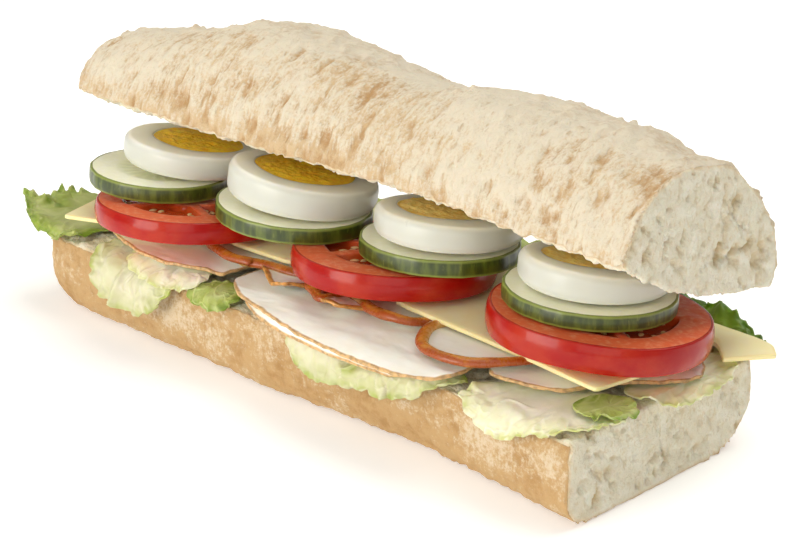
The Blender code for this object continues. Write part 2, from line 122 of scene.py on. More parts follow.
def lumps(points, size, seed=0):
    """Smooth random lumps from -1 to 1. size is one number of millimetres, or one for each direction."""
    spot = points / np.asarray(size, float)
    cell = np.floor(spot)
    share = spot - cell
    share = share * share * (3 - 2 * share)
    total = np.zeros(points.shape[:-1])
    for corner in np.ndindex(2, 2, 2):
        weight = np.prod(np.where(corner, share, 1 - share), axis=-1)
        total += weight * grid_number(cell + corner, seed)
    return total * 2 - 1


def rough(points, size, octaves=3, seed=0, fade=0.5):
    """Lumps on lumps, each set about half as wide and fade as high as the one before."""
    spot = points / np.asarray(size, float)
    total, strength = np.zeros(points.shape[:-1]), 1.0
    for octave in range(octaves):
        total += strength * lumps(spot, 1.0, seed + octave)
        spot = spot @ OCTAVE_TURN.T * 2.1 + 7.3
        strength *= fade
    return total


def wander(points, size, seed):
    """Random pushes in three directions."""
    return np.stack([rough(points, size, 2, seed + k) for k in range(3)], axis=1)


def cells(points, size, seed=0):
    """Distances to the nearest and the second nearest of scattered points, as shares of size."""
    spot = points / np.asarray(size, float)
    home = np.floor(spot)
    first, second = np.full((2, *points.shape[:-1]), 9.0)
    for beside in np.ndindex(3, 3, 3):
        cell = home + beside - 1
        place = cell + np.stack([grid_number(cell, seed + k) for k in range(3)], axis=-1)
        away = np.linalg.norm(spot - place, axis=-1)
        second = np.minimum(second, np.maximum(first, away))
        first = np.minimum(first, away)
    return first, second


def step(value, low, high):
    """0 below low, 1 above high and a smooth rise between them. low may be above high."""
    share = np.clip((value - low) / (high - low), 0, 1)
    return share * share * (3 - 2 * share)


# Meshes


def read_mesh(mesh):
    """Points in millimetres and the normals at them."""
    count = len(mesh.vertices)
    points, normals = np.empty(count * 3), np.empty(count * 3)
    mesh.vertices.foreach_get("co", points)
    mesh.vertex_normals.foreach_get("vector", normals)
    return points.reshape(-1, 3) / MM, normals.reshape(-1, 3)


def write_points(mesh, points):
    mesh.vertices.foreach_set("co", (points * MM).ravel())
    mesh.update()


def write_points_within(mesh, points, box):
    """Moves the mesh's points, but none past a box in metres."""
    low, high = (np.array(corner) / MM for corner in box)
    write_points(mesh, np.clip(points, low, high))


def write_masks(mesh, **masks):
    """Keeps numbers for each point, or one for all, under names that the finishes read."""
    for name, values in masks.items():
        layer = mesh.attributes.new(name, "FLOAT", "POINT")
        spread = np.broadcast_to(np.asarray(values, np.float32), len(mesh.vertices))
        layer.data.foreach_set("value", np.array(spread))


def new_mesh(name, points, faces):
    mesh = bpy.data.meshes.new(name)
    mesh.from_pydata((np.asarray(points) * MM).tolist(), [], faces)
    mesh.validate()
    return mesh


def with_modifiers(name, mesh, modifiers):
    """The mesh after modifiers, each given as a kind and its settings."""
    holder = bpy.data.objects.new(name, mesh)
    bpy.context.scene.collection.objects.link(holder)
    for kind, settings in modifiers:
        modifier = holder.modifiers.new(kind, kind)
        for setting, value in settings.items():
            setattr(modifier, setting, value)
    held = holder.evaluated_get(bpy.context.evaluated_depsgraph_get())
    made = bpy.data.meshes.new_from_object(held)
    made.name = name
    bpy.data.objects.remove(holder)
    bpy.data.meshes.remove(mesh)
    return made


def welded(node, within=0.00001):
    """A CAD node's faces, joined at corners that lie within so many metres of each other."""
    work = bmesh.new()
    work.from_mesh(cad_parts[node].data)
    bmesh.ops.remove_doubles(work, verts=work.verts, dist=within)
    return work


def cad_copy(node, name, modifiers, sharp=50):
    """A copy of a CAD node rounded off by modifiers. Edges sharper than sharp degrees stay sharp."""
    work = welded(node)
    flat, shape = math.radians(35), math.radians(70)
    bmesh.ops.join_triangles(work, faces=work.faces, angle_face_threshold=flat, angle_shape_threshold=shape)
    crease = work.edges.layers.float.new("crease_edge")
    for edge in work.edges:
        if edge.calc_face_angle(0) > math.radians(sharp):
            edge[crease] = 0.8
    mesh = bpy.data.meshes.new(name)
    work.to_mesh(mesh)
    work.free()
    return with_modifiers(name, mesh, modifiers)


def sharp_rim(node, sharp=50):
    """Points along the sharp edges of a CAD node."""
    work = welded(node)
    found = []
    for edge in work.edges:
        if edge.calc_face_angle(0) > math.radians(sharp):
            start, end = (np.array(v.co) / MM for v in edge.verts)
            parts = max(2, int(3 * np.linalg.norm(end - start)))
            found += [start + (end - start) * k / parts for k in range(parts)]
    work.free()
    return np.array(found)


def nearest_of(points, others):
    """How far each point is from the nearest of the others, in millimetres, and where that one is."""
    tree = KDTree(len(others))
    for index, other in enumerate(others):
        tree.insert(other, index)
    tree.balance()
    found = [tree.find(point) for point in points]
    return np.array([f[2] for f in found]), np.array([f[0] for f in found])


def show(name, mesh, finish, nodes):
    """Adds a finished piece that rides on the one body and stands for its CAD nodes."""
    for polygon in mesh.polygons:
        polygon.use_smooth = True
    mesh.materials.clear()
    mesh.materials.append(finish)
    piece = bpy.data.objects.new(name, mesh)
    bpy.context.scene.collection.objects.link(piece)
    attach(piece, "root")
    if nodes:
        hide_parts(*nodes)
    return piece


# Finishes


class Number:
    """A number that varies over a surface. Sums and products on it add the nodes that work them out."""

    def __init__(self, finish, socket):
        self.finish = finish
        self.socket = socket

    def math(self, operation, first, second=0.0):
        return self.finish.node("ShaderNodeMath", {"operation": operation}, {0: first, 1: second})

    def __add__(self, other):
        return self.math("ADD", self, other)

    def __sub__(self, other):
        return self.math("SUBTRACT", self, other)

    def __rsub__(self, other):
        return self.math("SUBTRACT", other, self)

    def __mul__(self, other):
        return self.math("MULTIPLY", self, other)

    __radd__ = __add__
    __rmul__ = __mul__

    def most(self, other):
        return self.math("MAXIMUM", self, other)

    def rise(self, low, high):
        """0 below low, 1 above high and smooth between them. low may be above high."""
        flipped = low > high
        ends = {"From Min": min(low, high), "From Max": max(low, high)}
        made = self.finish.node(
            "ShaderNodeMapRange", {"interpolation_type": "SMOOTHSTEP"}, {"Value": self, **ends}
        )
        return 1 - made if flipped else made


class Finish:
    """A material and the nodes it's made from."""

    def __init__(self, name, **constants):
        self.material = bpy.data.materials.new(name)
        self.material.use_nodes = True
        self.tree = self.material.node_tree
        self.shader = self.tree.nodes["Principled BSDF"]
        for socket, value in constants.items():
            self.shader.inputs[socket.replace("_", " ")].default_value = value

    def node(self, kind, settings=None, inputs=None, output=0):
        """Adds a node with its settings, then the values or links of its sockets, and gives one output."""
        made = self.tree.nodes.new(kind)
        for setting, value in (settings or {}).items():
            setattr(made, setting, value)
        for key, value in (inputs or {}).items():
            self.join(value, made.inputs[key])
        return Number(self, made.outputs[output])

    def join(self, value, socket):
        if isinstance(value, Number):
            self.tree.links.new(value.socket, socket)
        elif socket.type == "RGBA" and len(value) == 3:
            socket.default_value = (*value, 1.0)
        else:
            socket.default_value = value

    def mask(self, name):
        """A number that the mesh keeps for each point."""
        return self.node("ShaderNodeAttribute", {"attribute_name": name}, output="Fac")

    def place(self, stretch):
        """Object coordinates in millimetres, divided by stretch for each direction."""
        where = self.node("ShaderNodeTexCoord", output="Object")
        scale = tuple(1 / (MM * s) for s in stretch)
        return self.node("ShaderNodeMapping", {}, {"Vector": where, "Scale": scale})

    def grain(self, size, detail=2.0, stretch=(1, 1, 1), roughness=0.55):
        """Random soft lumps from 0 to 1, size millimetres across."""
        where = self.place([size * s for s in stretch])
        inputs = {"Vector": where, "Scale": 1.0, "Detail": detail, "Roughness": roughness}
        return self.node("ShaderNodeTexNoise", {}, inputs)

    def blend(self, first, second, share):
        """From the first colour to the second as share goes from 0 to 1."""
        inputs = {0: share, 6: first, 7: second}
        return self.node("ShaderNodeMix", {"data_type": "RGBA"}, inputs, output=2)

    def done(self, colour, roughness, height=None, bump=0.1):
        """Links the colour, the roughness and a height in shares of bump millimetres."""
        self.join(colour, self.shader.inputs["Base Color"])
        self.join(roughness, self.shader.inputs["Roughness"])
        if height is not None:
            inputs = {"Height": height, "Distance": bump * MM, "Strength": 1.0}
            self.join(self.node("ShaderNodeBump", {}, inputs), self.shader.inputs["Normal"])
        return self.material


def soft_finish(name, soft, tint, shine, reach=0.0015, **others):
    """A finish that takes in a share of the light, which goes reach metres by tint in red, green and blue."""
    inner = {"Subsurface_Weight": soft, "Subsurface_Radius": tint, "Subsurface_Scale": reach}
    return Finish(name, Specular_IOR_Level=shine, **inner, **others)


def crust_finish(name, deep, golden, floured, flour_from, flour_to):
    """Baked crust under dry flour, and the open crumb where it is cut."""
    finish = soft_finish(name, 0.25, (1.0, 0.6, 0.35), 0.25)
    relief = finish.mask("relief")
    wall = finish.mask("wall")
    speckle = finish.grain(0.75, 3, roughness=0.7)
    mottle = finish.grain(3.2, 4)
    patches = finish.grain(15, 3)
    streaks = finish.grain(1.0, 3, (1.1, 2, 6)) * wall + finish.grain(2.0, 4) * (1 - wall)
    furrow = finish.grain(1.4, 2, (1, 2, 4)).rise(0.4, 0.26) * wall
    # painted shade: the tone deepens and the flour thins where the crust relief sinks
    tone = (patches * 0.45 + mottle * 0.7 + speckle * 0.5 + relief * -0.35).rise(0.7, 1.15)
    crust = finish.blend(golden, deep, tone)
    uneven = patches * -0.25 + mottle * 0.45 + streaks * 1.1 + speckle + relief * 0.25
    drift = finish.mask("flour") + uneven
    crust = finish.blend(crust, floured, drift.rise(flour_from, flour_to))
    # painted shade in the hollows of the crust relief
    crust = finish.blend(crust, deep, relief.rise(-0.2, -1.0) * 0.6)
    # darker furrows: partly the browner crust in the cracks, partly painted shade
    crust = finish.blend(crust, deep, furrow * 0.4)
    baked = finish.mask("baked") * finish.grain(1.8, 3).rise(0.35, 0.6)
    crust = finish.blend(crust, tuple(0.85 * c for c in deep), baked * 0.5)
    # the crumb's holes are darker and warmer: partly a tan lining, partly painted shade
    inner = finish.blend((0.80, 0.735, 0.57), (0.72, 0.57, 0.34), finish.mask("pore"))
    inner = finish.blend(inner, (0.86, 0.81, 0.66), finish.grain(5, 4).rise(0.45, 0.65))
    # painted shade: small pores drawn only in colour are darkened like shaded holes
    cell = finish.grain(1.1, 3, (1, 1, 1.7)).rise(0.48, 0.3)
    inner = finish.blend(inner, (0.70, 0.57, 0.35), cell * 0.5)
    skin_line = finish.mask("depth").rise(1.3, 0.3)
    inner = finish.blend(inner, (0.72, 0.54, 0.31), skin_line * 0.6)
    crumb = finish.mask("crumb").rise(0.35, 0.65)
    colour = finish.blend(crust, inner, crumb)
    height = (speckle * 0.8 + streaks * 1.4 - furrow * 0.4 + mottle * 0.5) * (1 - crumb)
    height = height + (finish.grain(1.3, 4, roughness=0.7) * 2.0) * crumb
    return finish.done(colour, 0.85, height, 0.45)


def ham_finish(name, rim, rim_width, gloss):
    """Pale moist slice with fine fibres and a browned rim."""
    finish = soft_finish(name, 0.25, (1.0, 0.6, 0.4), 0.5)
    fibres = finish.grain(2.2, 4, (3.0, 1, 1))
    clouds = finish.grain(12, 3)
    pale = finish.blend((0.95, 0.94, 0.86), (0.93, 0.88, 0.77), clouds.rise(0.45, 0.75))
    pale = finish.blend(pale, (0.96, 0.95, 0.90), fibres.rise(0.5, 0.75) * 0.5)
    ragged = finish.mask("edge") + (finish.grain(5, 2) - 0.5) * 0.9
    brown = ragged.rise(rim_width + 0.2, rim_width - 0.4).most(finish.mask("side") * 0.85)
    shades = finish.grain(1.6, 3)
    rim = finish.blend(tuple(0.6 * c for c in rim), rim, shades.rise(0.35, 0.6))
    colour = finish.blend(pale, rim, brown)
    roughness = gloss + finish.grain(5, 3).rise(0.35, 0.7) * 0.15
    return finish.done(colour, roughness, fibres * 0.7 + finish.grain(0.8, 2) * 0.4, 0.06)


def ham_rim_finish():
    """Glossy amber-brown rim, clearer in some places and darker in others, and darker on its outer side:
    partly browning, partly painted shade.
    """
    finish = soft_finish("ham_rim", 0.4, (1.0, 0.35, 0.1), 0.55)
    outer = finish.mask("outer")
    blotches = finish.grain(5.5, 3)
    fibres = finish.grain(1.6, 3)
    # the outer side of the ribbon turns darker: partly the browner edge, partly painted shade that gives the
    # band its form
    pale = (outer * 0.7 + blotches * 0.8).rise(0.35, 0.75)
    colour = finish.blend((0.76, 0.46, 0.17), (0.62, 0.25, 0.04), pale)
    dark = (outer * 0.6 + fibres * 0.4 + blotches * 0.6).rise(0.75, 1.05)
    colour = finish.blend(colour, (0.36, 0.075, 0.01), dark)
    return finish.done(colour, 0.2 + fibres * 0.15, fibres + finish.grain(2.5, 2) * 0.8, 0.05)


def cheese_finish():
    """Smooth pale yellow slice, a little drier at its rim."""
    finish = soft_finish("cheese", 0.5, (1.0, 0.7, 0.3), 0.45, 0.002)
    clouds = finish.grain(9, 3)
    colour = finish.blend((0.97, 0.85, 0.48), (0.98, 0.88, 0.56), clouds.rise(0.35, 0.7))
    colour = finish.blend(colour, (0.86, 0.68, 0.29), finish.mask("edge").rise(1.2, 0.2) * 0.6)
    marks = finish.grain(1.4, 2, (5, 1, 1))
    return finish.done(colour, 0.38 + clouds * 0.15, marks * 0.5 + finish.grain(0.7, 2) * 0.3, 0.07)


def leaf_finish(name, pale, green, rim, gloss=0.36):
    """Leaf from a pale rib to a greener rim, with paler veins."""
    finish = soft_finish(name, 0.4, (0.7, 1.0, 0.3), 0.45)
    clouds = finish.grain(9, 3)
    outwards = finish.mask("edge").rise(9, 0) * 0.5 + finish.mask("rib") * 0.3
    share = (clouds * 1.5 + outwards - 0.65).rise(0.0, 1.0)
    colour = finish.blend(pale, green, share)
    colour = finish.blend(colour, rim, finish.mask("edge").rise(2.2, 0.3) * clouds.rise(0.35, 0.6))
    colour = finish.blend(colour, pale, finish.mask("vein") * 0.7)
    height = finish.grain(1.8, 3, (1, 2.5, 2.5)) * 0.7 + finish.grain(0.5, 2) * 0.15
    return finish.done(colour, gloss + clouds * 0.12, height, 0.12)


def tomato_finish():
    """Red skin, fibrous flesh, wet seed chambers and pale seeds."""
    finish = soft_finish("tomato", 0.3, (1.0, 0.2, 0.08), 0.2, Coat_Roughness=0.08)
    fibres = finish.grain(1.8, 4)
    skin = finish.blend((0.37, 0.005, 0.003), (0.44, 0.025, 0.008), finish.grain(9, 3).rise(0.35, 0.7))
    flesh = finish.blend((0.78, 0.13, 0.045), (0.86, 0.30, 0.16), fibres.rise(0.45, 0.75))
    flesh = finish.blend(flesh, (0.82, 0.42, 0.26), finish.mask("core") * 0.7)
    flesh = finish.blend(flesh, (0.52, 0.06, 0.01), finish.mask("chamber"))
    flesh = finish.blend(flesh, (0.80, 0.56, 0.26), finish.mask("seed"))
    colour = finish.blend(flesh, skin, finish.mask("skin").rise(0.4, 0.6))
    finish.join(finish.mask("wet"), finish.shader.inputs["Coat Weight"])
    roughness = 0.42 - finish.mask("chamber") * 0.25 - finish.mask("skin") * 0.2
    return finish.done(colour, roughness, fibres * 0.6 + finish.grain(0.6, 2) * 0.3, 0.12)


def cucumber_finish():
    """Dark streaked rind round pale flesh with a paler seed ring."""
    finish = soft_finish("cucumber", 0.3, (0.8, 1.0, 0.4), 0.5, 0.0018, Coat_Roughness=0.15)
    fibres = finish.grain(1.5, 3)
    streaks = finish.grain(2.3, 3, (1, 1, 4))
    rind = finish.blend((0.035, 0.055, 0.004), (0.105, 0.14, 0.012), streaks.rise(0.38, 0.7))
    rind = finish.blend(rind, (0.26, 0.29, 0.05), finish.grain(1.1, 2, (1, 1, 3)).rise(0.6, 0.74) * 0.35)
    rind = finish.blend(rind, (0.30, 0.35, 0.06), finish.mask("brim") * 0.6)
    flesh = finish.blend((0.94, 0.93, 0.70), (0.96, 0.95, 0.78), fibres.rise(0.4, 0.7))
    flesh = finish.blend(flesh, (0.72, 0.75, 0.40), finish.mask("seed") * 0.6)
    flesh = finish.blend(flesh, (0.38, 0.48, 0.10), finish.mask("under_rind"))
    colour = finish.blend(flesh, rind, finish.mask("skin").rise(0.4, 0.6))
    finish.join(finish.mask("wet"), finish.shader.inputs["Coat Weight"])
    return finish.done(colour, 0.34 + fibres * 0.1, fibres * 0.6 + streaks * 0.3, 0.09)


def egg_white_finish():
    """Smooth white, with painted shade that darkens the outer wall against the cut faces."""
    finish = soft_finish("egg_white", 1.0, (1.0, 0.9, 0.7), 0.5, 0.006)
    clouds = finish.grain(8, 3)
    colour = finish.blend((0.91, 0.90, 0.81), (0.93, 0.92, 0.85), clouds.rise(0.35, 0.7))
    # painted shade: the outer wall is painted darker than the cut faces
    colour = finish.blend(colour, (0.60, 0.605, 0.54), finish.mask("wall").rise(0.3, 0.95))
    height = finish.grain(1.2, 3) * 0.5 + finish.grain(4, 2) * 0.8
    return finish.done(colour, 0.24 + clouds * 0.12, height, 0.06)


def yolk_finish(name, dark, bright, dry):
    """Crumbly yolk, with painted shade in its dents."""
    finish = soft_finish(name, 0.3, (1.0, 0.5, 0.1), 0.35)
    crumbs = finish.grain(1.1, 4)
    clouds = finish.grain(5, 3)
    colour = finish.blend(dark, bright, (crumbs * 0.7 + clouds * 0.6).rise(0.4, 0.85))
    # painted shade: the dents are darkened as if shade lay in them
    colour = finish.blend(colour, tuple(0.62 * c for c in dark), finish.mask("pit") * 0.7)
    return finish.done(colour, dry + clouds * 0.15, crumbs + finish.grain(0.4, 2) * 0.4, 0.22)


# The two halves of the loaf


def smooth_by_modifiers(levels):
    return ("SUBSURF", {"levels": levels, "render_levels": levels})


def bread_mesh(node, name):
    remesh = ("REMESH", {"mode": "VOXEL", "voxel_size": BREAD_GRAIN * MM})
    return cad_copy(node, name, [smooth_by_modifiers(2), remesh], 60)


def crumb_relief(points, inside, depth, seed):
    """How far the crumb stands in and out, and how deep in a hole each point is."""
    bent = points + 1.4 * wander(points, 3.4, seed)
    bent = bent * np.array([1.1, 1.1, 0.72])
    small = 1.0 * step(rough(bent, 2.1, 2, seed + 11), 0.15, 0.85)
    middling = 2.0 * step(rough(bent, 4.4, 3, seed + 21), 0.5, 1.1)
    large = 3.4 * step(rough(bent, 8.5, 3, seed + 31), 0.8, 1.3)
    holes = np.maximum(np.maximum(small, middling), large)
    soft = rough(points, 14, 2, seed + 5) * 0.6 + rough(points, 3.6, 2, seed + 6) * 0.4
    soft += rough(points, 1.7, 2, seed + 7) * 0.4
    away = (soft - holes) * step(depth, 0.2, 2.2)
    return away * inside, np.clip(holes / 1.8, 0, 1)


def finish_bread(mesh, points, normals, inside, crust, tear, seed, limits, **masks):
    """Moves the points by the relief of the crust and the crumb, and keeps the masks."""
    depth = np.zeros(len(points))
    crumb = inside > 0.5
    depth[crumb] = nearest_of(points[crumb], points[~crumb])[0]
    away, pore = crumb_relief(points, inside, depth, seed)
    shift = np.where(crumb, away, crust)
    write_points_within(mesh, points + normals * shift[:, None] + tear, limits)
    relief = crust * (1 - inside)
    write_masks(mesh, crumb=inside, depth=depth, pore=pore, relief=relief, **masks)


def bottom_half():
    """Golden wall with pits and blisters, a crumbly foot, and open crumb where it is cut."""
    mesh = bread_mesh("bread_bottom", "bottom_half")
    points, normals = read_mesh(mesh)
    x, _, up = points.T
    face = step(up, BOTTOM_FACE - 1.2, BOTTOM_FACE - 0.4) * step(normals[:, 2], 0.4, 0.7)
    cut = step(x, CUT_END_BOTTOM - 1.6, CUT_END_BOTTOM - 0.8) * step(normals[:, 0], 0.5, 0.8)
    inside = np.maximum(face, cut)
    crags = rough(points, 7, 3, 11) * 0.35
    pits = step(cells(points, (4.2, 4.2, 3.0), 21)[0], 0.40, 0.2) * step(lumps(points, 14, 3), 0.1, 0.5)
    blisters = step(cells(points, 2.4, 31)[0], 0.45, 0.1) * step(lumps(points, 11, 8), 0.0, 0.5)
    fine = rough(points, 1.8, 2, 15) * 0.26
    foot = step(up, 3.2, 1.4)
    base = step(normals[:, 2], -0.7, -0.95)
    crumbly = foot * (0.9 + 0.9 * rough(points, (2.4, 2.4, 6), 2, 41))
    crust = (crags - 0.35 * pits + 0.3 * blisters + fine + crumbly) * (1 - base)
    lip = step(up, 20, 23.5) * (1 - inside)
    tear = np.zeros_like(points)
    tear[:, 2] = lip * rough(points, 1.9, 2, 43) * 0.6
    flour = 0.15 + 0.25 * rough(points, (24, 24, 14), 2, 51) + 0.15 * step(up, 2, 18)
    baked = foot * 0.8 + step(up, 20.5, 23.5) * step(rough(points, 6, 2, 53), 0.0, 0.5)
    masks = {"flour": flour, "wall": 0.35, "baked": baked}
    finish_bread(mesh, points, normals, inside, crust, tear, 5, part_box("bread_bottom"), **masks)
    finish = crust_finish(
        "bottom_crust", (0.41, 0.235, 0.09), (0.52, 0.335, 0.155), (0.66, 0.53, 0.36), 1.35, 1.8
    )
    show("bottom_half", mesh, finish, ["bread_bottom"])


def top_half_frame(points):
    """Along the loaf, across its tipped cut face from the front edge, and up from that face."""
    x, y, z = points.T
    arch, middle, spread = TOP_ARCH
    rise = arch * np.exp(-(((x - middle) / spread) ** 2))
    y = y - TOP_FRONT_EDGE[0]
    z = z - TOP_FRONT_EDGE[1] - rise
    across = y * math.cos(TOP_TIP) - z * math.sin(TOP_TIP)
    up = y * math.sin(TOP_TIP) + z * math.cos(TOP_TIP)
    return np.stack([x, across, up], axis=1)


def burst_areas(x, across):
    """1 where the top's crust opened in the oven, 0 elsewhere."""
    left = step(x, 25, -5) * step(x, -75, -50) * step(across, 12, 22)
    right = step(x, 45, 60) * step(across, 14, 24)
    return left + right


def top_relief(own, wall, burst):
    """How far the upper crust stands out, with its flakes and its knobs on their own."""
    x, across, _ = own.T
    slant = own.copy()
    slant[:, 0] = x * math.cos(BURST_TURN) + across * math.sin(BURST_TURN)
    slant[:, 1] = across * math.cos(BURST_TURN) - x * math.sin(BURST_TURN)
    crags = rough(own, 10, 3, 61) * 0.4
    cracked = own + wander(own, 7, 63)
    flutes = rough(cracked, (2.0, 10, 7), 2, 67) * 0.5
    wrinkles = 0.25 - np.abs(rough(cracked, (4.0, 12, 8), 2, 69)) * 0.7
    flakes = (0.8 - 1.9 * np.abs(rough(slant, (6, 18, 12), 2, 71))) * burst
    flakes += np.abs(rough(slant, (14, 4, 6), 2, 72)) * 0.5 * burst
    rows = step(rough(slant, (26, 6, 20), 2, 76), 0.25, 0.6) * step(across, 10, 18)
    knobs = step(cells(own, (3.4, 3.4, 3.0), 75)[0], 0.5, 0.1) * rows
    crackle = step(np.abs(rough(slant, (5, 8, 6), 2, 73)), 0.10, 0.0) * (1 - wall)
    fine = rough(own, 1.8, 2, 77) * 0.24
    crust = crags + (flutes + wrinkles) * wall + flakes * 0.8 + 1.1 * knobs - 0.3 * crackle + fine
    return crust, flakes, knobs


def top_flour(own, wall, burst, flakes):
    """How thick the flour lies on the upper crust."""
    x, across, up = own.T
    flour = 0.5 + 0.16 * rough(own, (26, 16, 16), 2, 78) - 0.3 * burst * step(flakes, 0.0, 0.5)
    flour -= 0.35 * step(x, -95, -112) + 0.25 * step(x, 70, 100) * step(up, 4, 14)
    flour += 0.15 * step(x, 20, -40) - 0.25 * step(up, 9, 2)
    flour += 0.3 * step(x, 30, 60) * wall + 0.65 * step(across, 10, 26)
    return flour


def top_half():
    """Floured crust with flutes down its wall, and open crumb where it is cut."""
    mesh = bread_mesh("bread_top", "top_half")
    points, normals = read_mesh(mesh)
    own = top_half_frame(points)
    x, across, up = own.T
    down = -(normals[:, 2] * math.cos(TOP_TIP) + normals[:, 1] * math.sin(TOP_TIP))
    face = step(up, 1.5, 0.8) * step(down, 0.4, 0.7)
    cut = step(x, CUT_END_TOP - 1.6, CUT_END_TOP - 0.8) * step(normals[:, 0], 0.5, 0.8)
    inside = np.maximum(face, cut)
    wall = step(across, 30, 14) * (1 - inside)
    burst = burst_areas(x, across)
    crust, flakes, knobs = top_relief(own, wall, burst)
    flour = top_flour(own, wall, burst, flakes)
    lip = step(up, 3.5, 0.8) * (1 - cut)
    torn = lip * (rough(own, (1.8, 3, 3), 2, 79) * 0.6 - 0.1)
    tear = torn[:, None] * np.array([0.0, -math.sin(TOP_TIP), -math.cos(TOP_TIP)])
    baked = knobs + 0.5 * step(flakes, 0.3, 0.7) + 0.6 * step(x, -100, -114)
    masks = {"flour": flour, "wall": wall, "baked": np.clip(baked, 0, 1)}
    finish_bread(mesh, points, normals, inside, crust, tear, 9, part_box("bread_top"), **masks)
    finish = crust_finish(
        "top_crust", (0.45, 0.27, 0.12), (0.60, 0.44, 0.26), (0.70, 0.62, 0.48), 1.35, 1.95
    )
    show("top_half", mesh, finish, ["bread_top"])


# Round slices


class Slice:
    """Where a CAD slice lies: its middle, its directions, its outline and its two faces."""

    def __init__(self, node):
        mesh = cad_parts[node].data
        points = np.unique(np.round(read_mesh(mesh)[0], 3), axis=0)
        up = np.linalg.svd(points - points.mean(axis=0), full_matrices=False)[2][2]
        up = up * math.copysign(1, up[2])
        along = np.cross(np.array([0.0, 1.0, 0.0]), up)
        along /= np.linalg.norm(along)
        self.axes = np.stack([along, np.cross(up, along), up])
        flat = (points - points.mean(axis=0)) @ self.axes.T
        turns = np.linspace(0, 2 * math.pi, 120, endpoint=False)
        ways = np.stack([np.cos(turns), np.sin(turns)])
        outer = np.unique((flat[:, :2] @ ways).argmax(axis=0))
        shift = np.append(flat[outer, :2].mean(axis=0), 0.0)
        flat -= shift
        self.middle = points.mean(axis=0) + shift @ self.axes
        angle = np.arctan2(flat[:, 1], flat[:, 0])
        self.waves = self.fit(self.terms(angle[outer]), np.hypot(flat[outer, 0], flat[outer, 1]))
        sectors = np.floor(angle / (2 * math.pi) * 12).astype(int) % 12
        groups = [np.flatnonzero(sectors == s) for s in range(12)]
        self.upper = self.fit_face(flat, [g[flat[g, 2].argmax()] for g in groups])
        self.lower = self.fit_face(flat, [g[flat[g, 2].argmin()] for g in groups])

    @staticmethod
    def fit(terms, values):
        return np.linalg.lstsq(terms, values, rcond=None)[0]

    @staticmethod
    def terms(angle):
        waves = [np.ones_like(angle)]
        for k in range(1, 6):
            waves += [np.cos(k * angle), np.sin(k * angle)]
        return np.stack(waves, axis=-1)

    def fit_face(self, flat, chosen):
        spots = flat[chosen]
        return self.fit(np.stack([np.ones(len(spots)), spots[:, 0], spots[:, 1]], axis=1), spots[:, 2])

    def radius(self, angle):
        return self.terms(angle) @ self.waves

    def height(self, face, x, y):
        return face[0] + face[1] * x + face[2] * y

    def world(self, x, y, z):
        return self.middle + np.stack([x, y, z], axis=-1) @ self.axes


def rim_rows(edge, rows):
    """Insets from the outline, places between the faces and shifts, from the top edge to the bottom one."""
    corner = np.linspace(0, math.pi / 2, 5)
    top = [(edge * (1 - math.sin(a)), 0.0, -edge * (1 - math.cos(a))) for a in corner]
    side = [(0.0, k / rows, 0.0) for k in range(1, rows)]
    low = [(edge * (1 - math.sin(a)), 1.0, edge * (1 - math.cos(a))) for a in corner[::-1]]
    return top + side + low


def stack_faces(rows, sides, ring):
    """Quads between rows of points. A ring joins its ends, and a disc has a fan at each."""
    faces = []
    for k in range(rows if ring else rows - 1):
        here, there = k * sides, (k + 1) % rows * sides
        for i in range(sides):
            j = (i + 1) % sides
            faces.append((here + i, there + i, there + j, here + j))
    if not ring:
        first, last = rows * sides, rows * sides + 1
        for i in range(sides):
            j = (i + 1) % sides
            faces.append((first, i, j))
            faces.append((last, (rows - 1) * sides + j, (rows - 1) * sides + i))
    return faces


def disc_points(laid, sides, inner, edge, side_rows, bulge):
    """Rows of a round slice from the middle of its upper face to the middle of its lower one.

    Gives x, y, z in the slice's own frame, the angle, the share of the way to the outline, and a place that
    is below 0 on the upper face, from 0 to 1 down the rim and above 1 on the lower face."""
    angle = np.linspace(0, 2 * math.pi, sides, endpoint=False)
    outline = laid.radius(angle)
    rows = [(share * (outline - edge), 0.0, 0.0, -1.0) for share in np.linspace(0.02, 1, inner)[:-1]]
    for inset, place, shift in rim_rows(edge, side_rows):
        swell = bulge * 4 * place * (1 - place)
        rows.append((outline - inset + swell, place, shift, place))
    for share in np.linspace(1, 0.05, 8)[1:]:
        rows.append((share * (outline - edge), 1.0, 0.0, 2.0))
    radius, place, shift, kind = (np.array([row[k] + 0 * angle for row in rows]) for k in range(4))
    x, y = radius * np.cos(angle), radius * np.sin(angle)
    upper, lower = laid.height(laid.upper, x, y), laid.height(laid.lower, x, y)
    inner_side = (place > 0) & (place < 1)
    rim_z = (upper - edge) * (1 - place) + (lower + edge) * place
    z = np.where(inner_side, rim_z, upper * (1 - place) + lower * place + shift)
    return x, y, z, angle + 0 * radius, radius / outline, kind


def disc_mesh(name, laid, x, y, z):
    """A closed round slice from its rows."""
    rows, sides = x.shape
    points = laid.world(x, y, z).reshape(-1, 3)
    middles = [laid.world(x[k].mean(), y[k].mean(), z[k].mean()) for k in (0, -1)]
    return new_mesh(name, np.vstack([points, middles]), stack_faces(rows, sides, False))


def write_row_masks(mesh, **masks):
    """Masks for the rows of a disc, with the mean of its end rows for the two middle points."""
    for name, values in masks.items():
        ends = [values[0].mean(), values[-1].mean()]
        write_masks(mesh, **{name: np.concatenate([values.ravel(), ends])})


def chambers(angle, share, count, turn, seed):
    """1 in the seed chambers of a tomato slice, 0 in its walls, for an outline with its own wobble."""
    wobble = 0.16 * np.sin(2 * angle + seed) + 0.10 * np.sin(5 * angle + 2.1 * seed)
    phase = (angle + turn + 0.12 * np.sin(3 * angle + seed)) * count / (2 * math.pi)
    across = np.abs(phase - np.floor(phase) - 0.5) * 2
    wall = (1 - across) * share * 2 * math.pi / count * 0.5
    inner = share - (0.26 + 0.25 * wobble)
    outer = (0.70 + 0.12 * wobble) - share
    return np.minimum(np.minimum(inner, outer), wall - 0.045)


